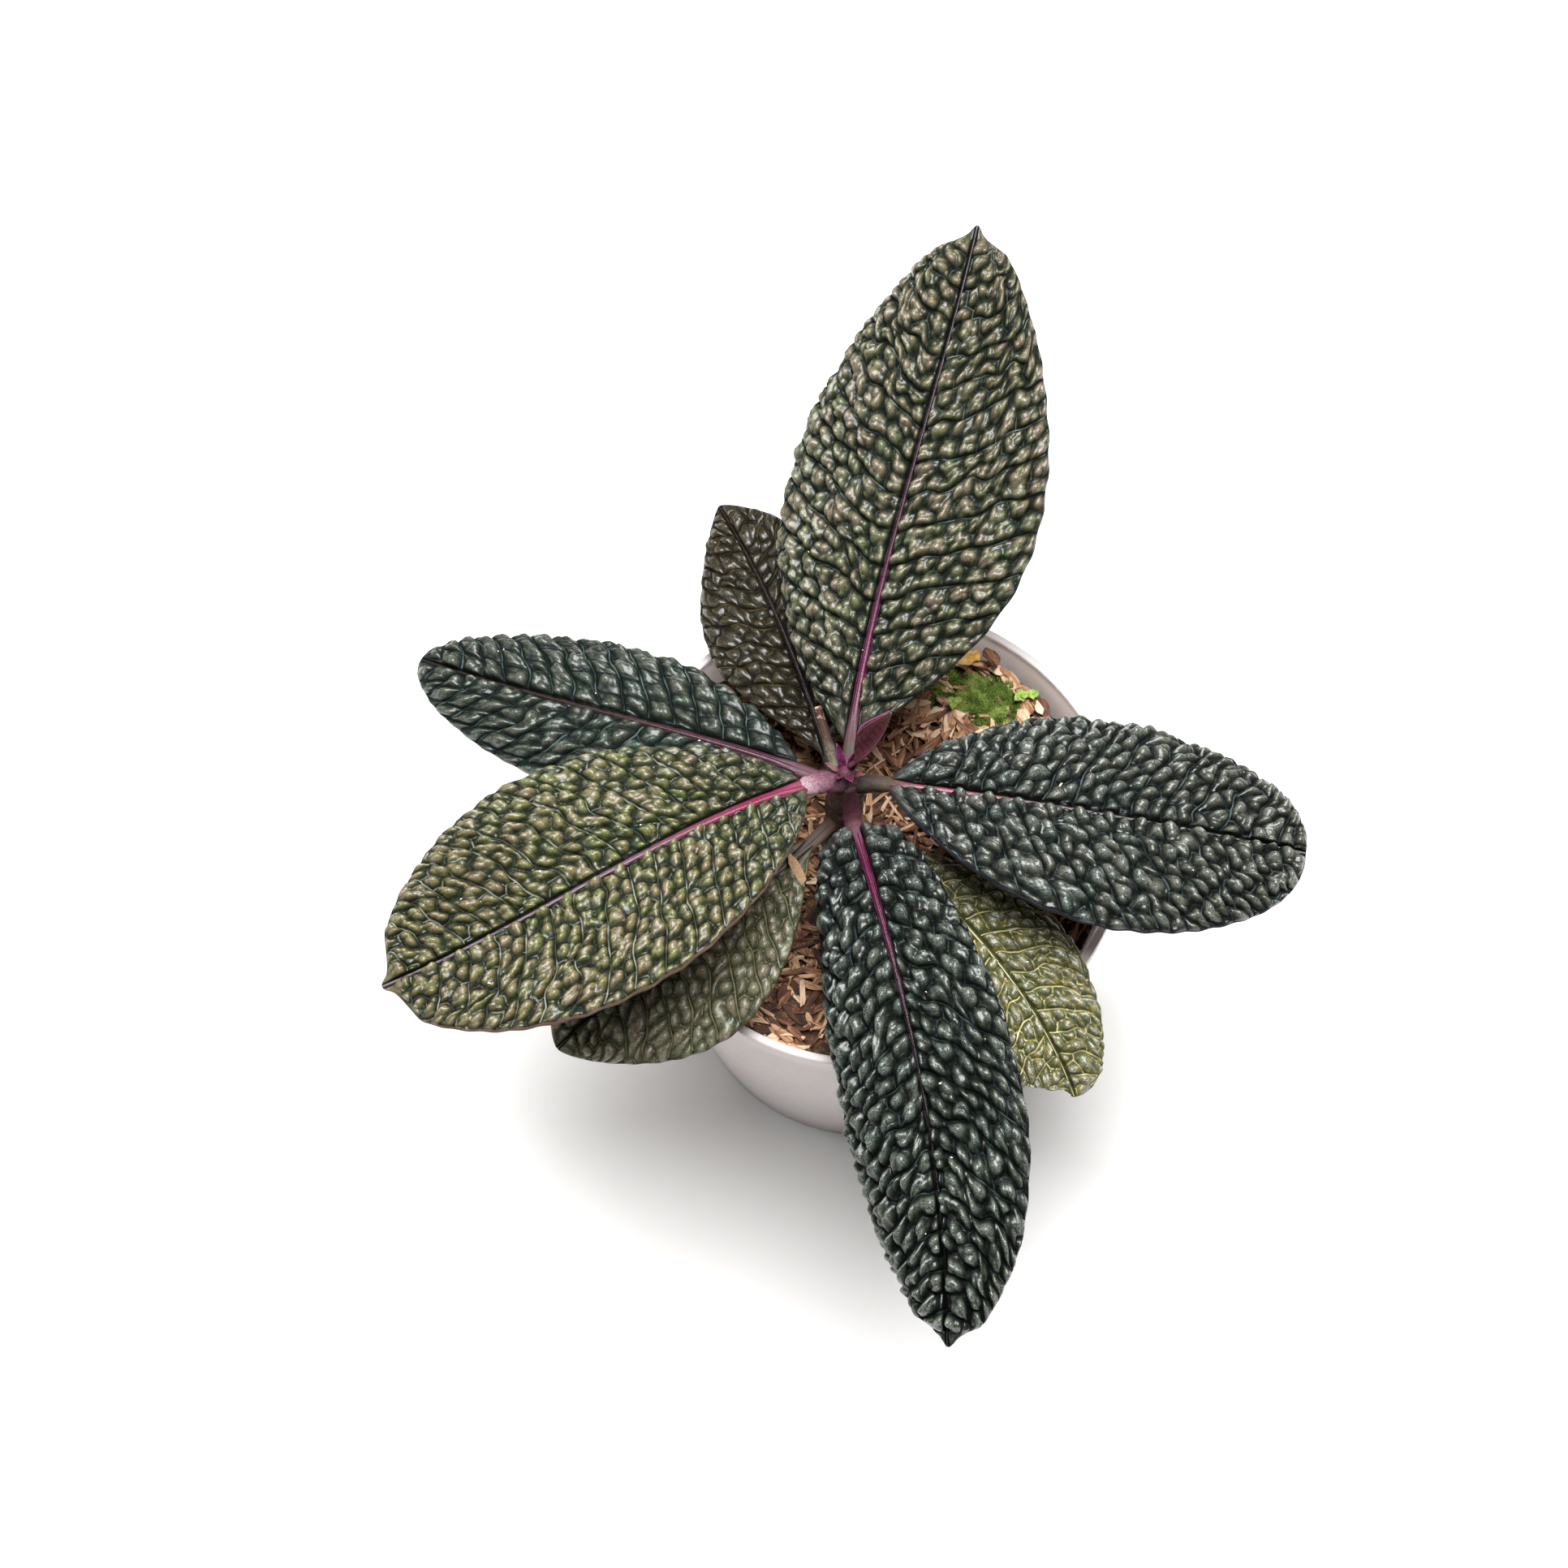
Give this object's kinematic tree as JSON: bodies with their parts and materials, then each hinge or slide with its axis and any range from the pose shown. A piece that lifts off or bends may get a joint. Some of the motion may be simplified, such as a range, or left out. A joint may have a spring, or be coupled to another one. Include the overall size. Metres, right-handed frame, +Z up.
{
  "type": "potted labisia",
  "caption": "House plant with a low rosette of long puckered dark green leaves on a short stem, growing in bark substrate in a round tapered plastic pot.",
  "frame": {"origin": "middle of the pot's flat base, where it rests", "axes": "+Z up along the pot's axis, the largest leaf leans towards +Y, the pot is round about Z"},
  "size_m": [0.208, 0.2437, 0.1721],
  "materials": {
    "milky_plastic": "thin translucent milky plastic, satin",
    "bark_substrate": "loose bark chips and fibres with patches of moss, matt",
    "stem_bark": "scurfy brown bark, matt",
    "olive_leaf": "thick puckered leaf, olive green, satin",
    "dark_leaf": "thick puckered leaf, dark bluish green, satin",
    "brown_leaf": "older netted leaf, brownish green, satin",
    "yellowing_leaf": "older netted leaf turning yellow, satin",
    "young_leaf": "unfolding leaf, reddish purple, satin",
    "dry_petiole": "dried leaf stalk, matt"
  },
  "bodies": {
    "root": {"pot": "milky_plastic", "substrate": "bark_substrate", "stem": "stem_bark", "leaf_top": "olive_leaf", "leaf_right": "dark_leaf", "leaf_front": "dark_leaf", "leaf_left": "olive_leaf", "leaf_back_left": "dark_leaf", "old_leaf_back": "brown_leaf", "old_leaf_front_left": "brown_leaf", "old_leaf_front_right": "yellowing_leaf", "young_leaf": "young_leaf", "dry_petiole": "dry_petiole"}
  },
  "joints": []
}
